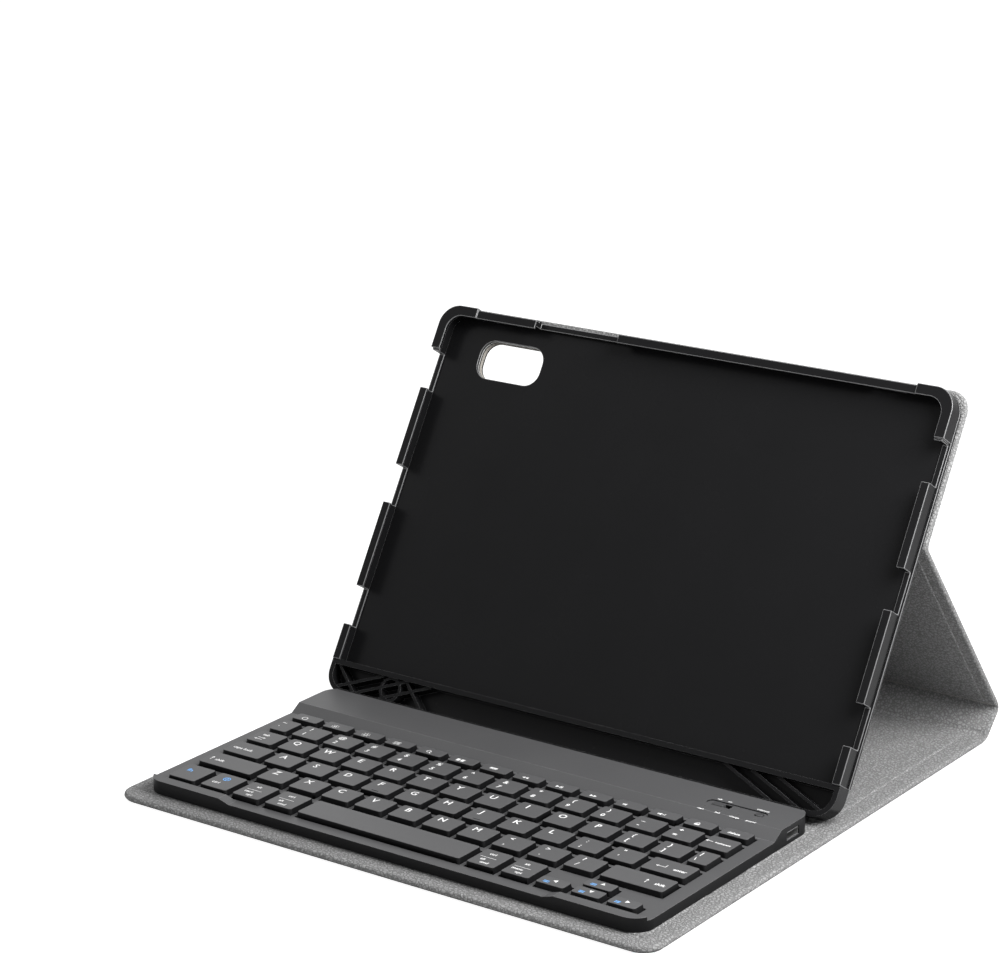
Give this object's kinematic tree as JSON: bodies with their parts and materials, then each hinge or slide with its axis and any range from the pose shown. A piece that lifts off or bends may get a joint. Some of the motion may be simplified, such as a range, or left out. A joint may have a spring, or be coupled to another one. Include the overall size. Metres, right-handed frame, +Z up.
{
  "type": "tablet keyboard case",
  "caption": "Folding leatherette tablet case standing open, with a moulded tray and pen holder on its upper panel and a detachable wireless keyboard lying on the front panel.",
  "frame": {"origin": "middle of the front panel's underside, on the table", "axes": "+X along the fold lines to the right, +Y from the keyboard towards the spine, +Z up"},
  "size_m": [0.264, 0.2792, 0.1667],
  "materials": {
    "skin": "black pebbled leatherette",
    "lining": "mid-grey grained lining",
    "board": "grey stiffening board",
    "padding": "thin padding",
    "magnet": "plated magnet discs",
    "tray": "dark satin moulded tray",
    "glue": "adhesive sheet",
    "case": "dark grey matte moulding",
    "key": "dark grey key caps",
    "steel": "steel sheet",
    "film": "printed switch film",
    "dome": "silicone domes",
    "mechanism": "white mechanism plastic",
    "cell": "foil pouch cell",
    "circuit": "circuit board",
    "control": "grey control caps",
    "light": "clear light pipes"
  },
  "bodies": {
    "front": {"front_skin": "skin", "front_board": "board", "front_lining": "lining", "front_magnets": "magnet", "wrap_fold_strip": "skin", "spine_fold_strip": "skin"},
    "wrap": {"wrap_skin": "skin", "wrap_padding": "padding", "wrap_lining": "lining", "flap_fold_strip": "skin"},
    "flap": {"flap_skin": "skin", "flap_board": "board", "flap_lining": "lining", "flap_magnets": "magnet"},
    "spine": {"spine_skin": "skin", "spine_board": "board", "spine_lining": "lining", "leg_fold_strip": "skin"},
    "leg": {"leg_skin": "skin", "leg_board": "board", "leg_lining": "lining", "upper_fold_strip": "skin"},
    "upper": {"upper_skin": "skin", "upper_board": "board", "upper_lining": "lining", "tray_glue": "glue", "tray_back": "tray", "tray_rim": "tray", "pen_holder": "tray"},
    "keyboard": {"keyboard_top": "case", "keyboard_floor": "case", "key_plate": "steel", "key_membrane": "film", "key_domes": "dome", "scissor_frames": "mechanism", "battery_cell": "cell", "circuit_board": "circuit", "charging_socket": "steel", "slide_switch": "mechanism", "light_pipes": "light"},
    "power_knob": {"power_knob": "control"},
    "connect_button": {"connect_button": "control"},
    "function_keys": {"function_keys": "key"},
    "number_keys": {"number_keys": "key"},
    "upper_letter_keys": {"upper_letter_keys": "key"},
    "home_letter_keys": {"home_letter_keys": "key"},
    "lower_letter_keys": {"lower_letter_keys": "key"},
    "left_modifier_keys": {"left_modifier_keys": "key"},
    "right_modifier_keys": {"right_modifier_keys": "key"},
    "backspace_key": {"backspace_key": "key"},
    "tab_key": {"tab_key": "key"},
    "caps_key": {"caps_key": "key"},
    "enter_key": {"enter_key": "key"},
    "left_shift_key": {"left_shift_key": "key"},
    "right_shift_key": {"right_shift_key": "key"},
    "space_key": {"space_key": "key"},
    "left_arrow_key": {"left_arrow_key": "key"},
    "up_arrow_key": {"up_arrow_key": "key"},
    "down_arrow_key": {"down_arrow_key": "key"},
    "right_arrow_key": {"right_arrow_key": "key"}
  },
  "joints": [
    {"name": "leg_hinge", "type": "hinge", "parent": "spine", "child": "leg", "pos_m": [0, 0.10773, 0.01273], "axis": [-1, 0, 0], "range_deg": [0, 83.7], "deforming": ["leg_fold_strip"]},
    {"name": "spine_hinge", "type": "hinge", "parent": "front", "child": "spine", "pos_m": [0, 0.095, 0], "axis": [-1, 0, 0], "range_deg": [0, 45.01], "deforming": ["spine_fold_strip"]},
    {"name": "tray_hinge", "type": "hinge", "parent": "leg", "child": "upper", "pos_m": [0, 0.03004, 0.10426], "axis": [1, 0, 0], "range_deg": [0, 69.71], "deforming": ["upper_fold_strip"]},
    {"name": "wrap_hinge", "type": "hinge", "parent": "front", "child": "wrap", "pos_m": [0, -0.095, 0], "axis": [1, 0, 0], "range_deg": [0, 90], "deforming": ["wrap_fold_strip"]},
    {"name": "flap_hinge", "type": "hinge", "parent": "wrap", "child": "flap", "pos_m": [0, -0.113, 0], "axis": [1, 0, 0], "range_deg": [0, 90], "deforming": ["flap_fold_strip"]},
    {"name": "keyboard_lift", "type": "slide", "parent": "front", "child": "keyboard", "axis": [0, 0, 1], "range_m": [0, 0.08]},
    {"name": "power_slide", "type": "slide", "parent": "keyboard", "child": "power_knob", "axis": [1, 0, 0], "range_m": [0, 0.003]},
    {"name": "connect_press", "type": "slide", "parent": "keyboard", "child": "connect_button", "axis": [0, 0, -1], "range_m": [0, 0.0004], "stiffness_N_per_m": 500, "springref_m": -0.0005},
    {"name": "function_press", "type": "slide", "parent": "keyboard", "child": "function_keys", "axis": [0, 0, -1], "range_m": [0, 0.0012], "stiffness_N_per_m": 300, "springref_m": -0.0012},
    {"name": "number_press", "type": "slide", "parent": "keyboard", "child": "number_keys", "axis": [0, 0, -1], "range_m": [0, 0.0012], "stiffness_N_per_m": 300, "springref_m": -0.0012},
    {"name": "upper_letter_press", "type": "slide", "parent": "keyboard", "child": "upper_letter_keys", "axis": [0, 0, -1], "range_m": [0, 0.0012], "stiffness_N_per_m": 300, "springref_m": -0.0012},
    {"name": "home_letter_press", "type": "slide", "parent": "keyboard", "child": "home_letter_keys", "axis": [0, 0, -1], "range_m": [0, 0.0012], "stiffness_N_per_m": 300, "springref_m": -0.0012},
    {"name": "lower_letter_press", "type": "slide", "parent": "keyboard", "child": "lower_letter_keys", "axis": [0, 0, -1], "range_m": [0, 0.0012], "stiffness_N_per_m": 300, "springref_m": -0.0012},
    {"name": "left_modifier_press", "type": "slide", "parent": "keyboard", "child": "left_modifier_keys", "axis": [0, 0, -1], "range_m": [0, 0.0012], "stiffness_N_per_m": 300, "springref_m": -0.0012},
    {"name": "right_modifier_press", "type": "slide", "parent": "keyboard", "child": "right_modifier_keys", "axis": [0, 0, -1], "range_m": [0, 0.0012], "stiffness_N_per_m": 300, "springref_m": -0.0012},
    {"name": "backspace_press", "type": "slide", "parent": "keyboard", "child": "backspace_key", "axis": [0, 0, -1], "range_m": [0, 0.0012], "stiffness_N_per_m": 300, "springref_m": -0.0012},
    {"name": "tab_press", "type": "slide", "parent": "keyboard", "child": "tab_key", "axis": [0, 0, -1], "range_m": [0, 0.0012], "stiffness_N_per_m": 300, "springref_m": -0.0012},
    {"name": "caps_press", "type": "slide", "parent": "keyboard", "child": "caps_key", "axis": [0, 0, -1], "range_m": [0, 0.0012], "stiffness_N_per_m": 300, "springref_m": -0.0012},
    {"name": "enter_press", "type": "slide", "parent": "keyboard", "child": "enter_key", "axis": [0, 0, -1], "range_m": [0, 0.0012], "stiffness_N_per_m": 300, "springref_m": -0.0012},
    {"name": "left_shift_press", "type": "slide", "parent": "keyboard", "child": "left_shift_key", "axis": [0, 0, -1], "range_m": [0, 0.0012], "stiffness_N_per_m": 300, "springref_m": -0.0012},
    {"name": "right_shift_press", "type": "slide", "parent": "keyboard", "child": "right_shift_key", "axis": [0, 0, -1], "range_m": [0, 0.0012], "stiffness_N_per_m": 300, "springref_m": -0.0012},
    {"name": "space_press", "type": "slide", "parent": "keyboard", "child": "space_key", "axis": [0, 0, -1], "range_m": [0, 0.0012], "stiffness_N_per_m": 300, "springref_m": -0.0012},
    {"name": "left_arrow_press", "type": "slide", "parent": "keyboard", "child": "left_arrow_key", "axis": [0, 0, -1], "range_m": [0, 0.0012], "stiffness_N_per_m": 300, "springref_m": -0.0012},
    {"name": "up_arrow_press", "type": "slide", "parent": "keyboard", "child": "up_arrow_key", "axis": [0, 0, -1], "range_m": [0, 0.0012], "stiffness_N_per_m": 300, "springref_m": -0.0012},
    {"name": "down_arrow_press", "type": "slide", "parent": "keyboard", "child": "down_arrow_key", "axis": [0, 0, -1], "range_m": [0, 0.0012], "stiffness_N_per_m": 300, "springref_m": -0.0012},
    {"name": "right_arrow_press", "type": "slide", "parent": "keyboard", "child": "right_arrow_key", "axis": [0, 0, -1], "range_m": [0, 0.0012], "stiffness_N_per_m": 300, "springref_m": -0.0012}
  ],
  "couplings": [
    {"joint": "spine_hinge", "follows": "leg_hinge", "ratio": 0.53763},
    {"joint": "tray_hinge", "follows": "leg_hinge", "ratio": 0.83274}
  ]
}
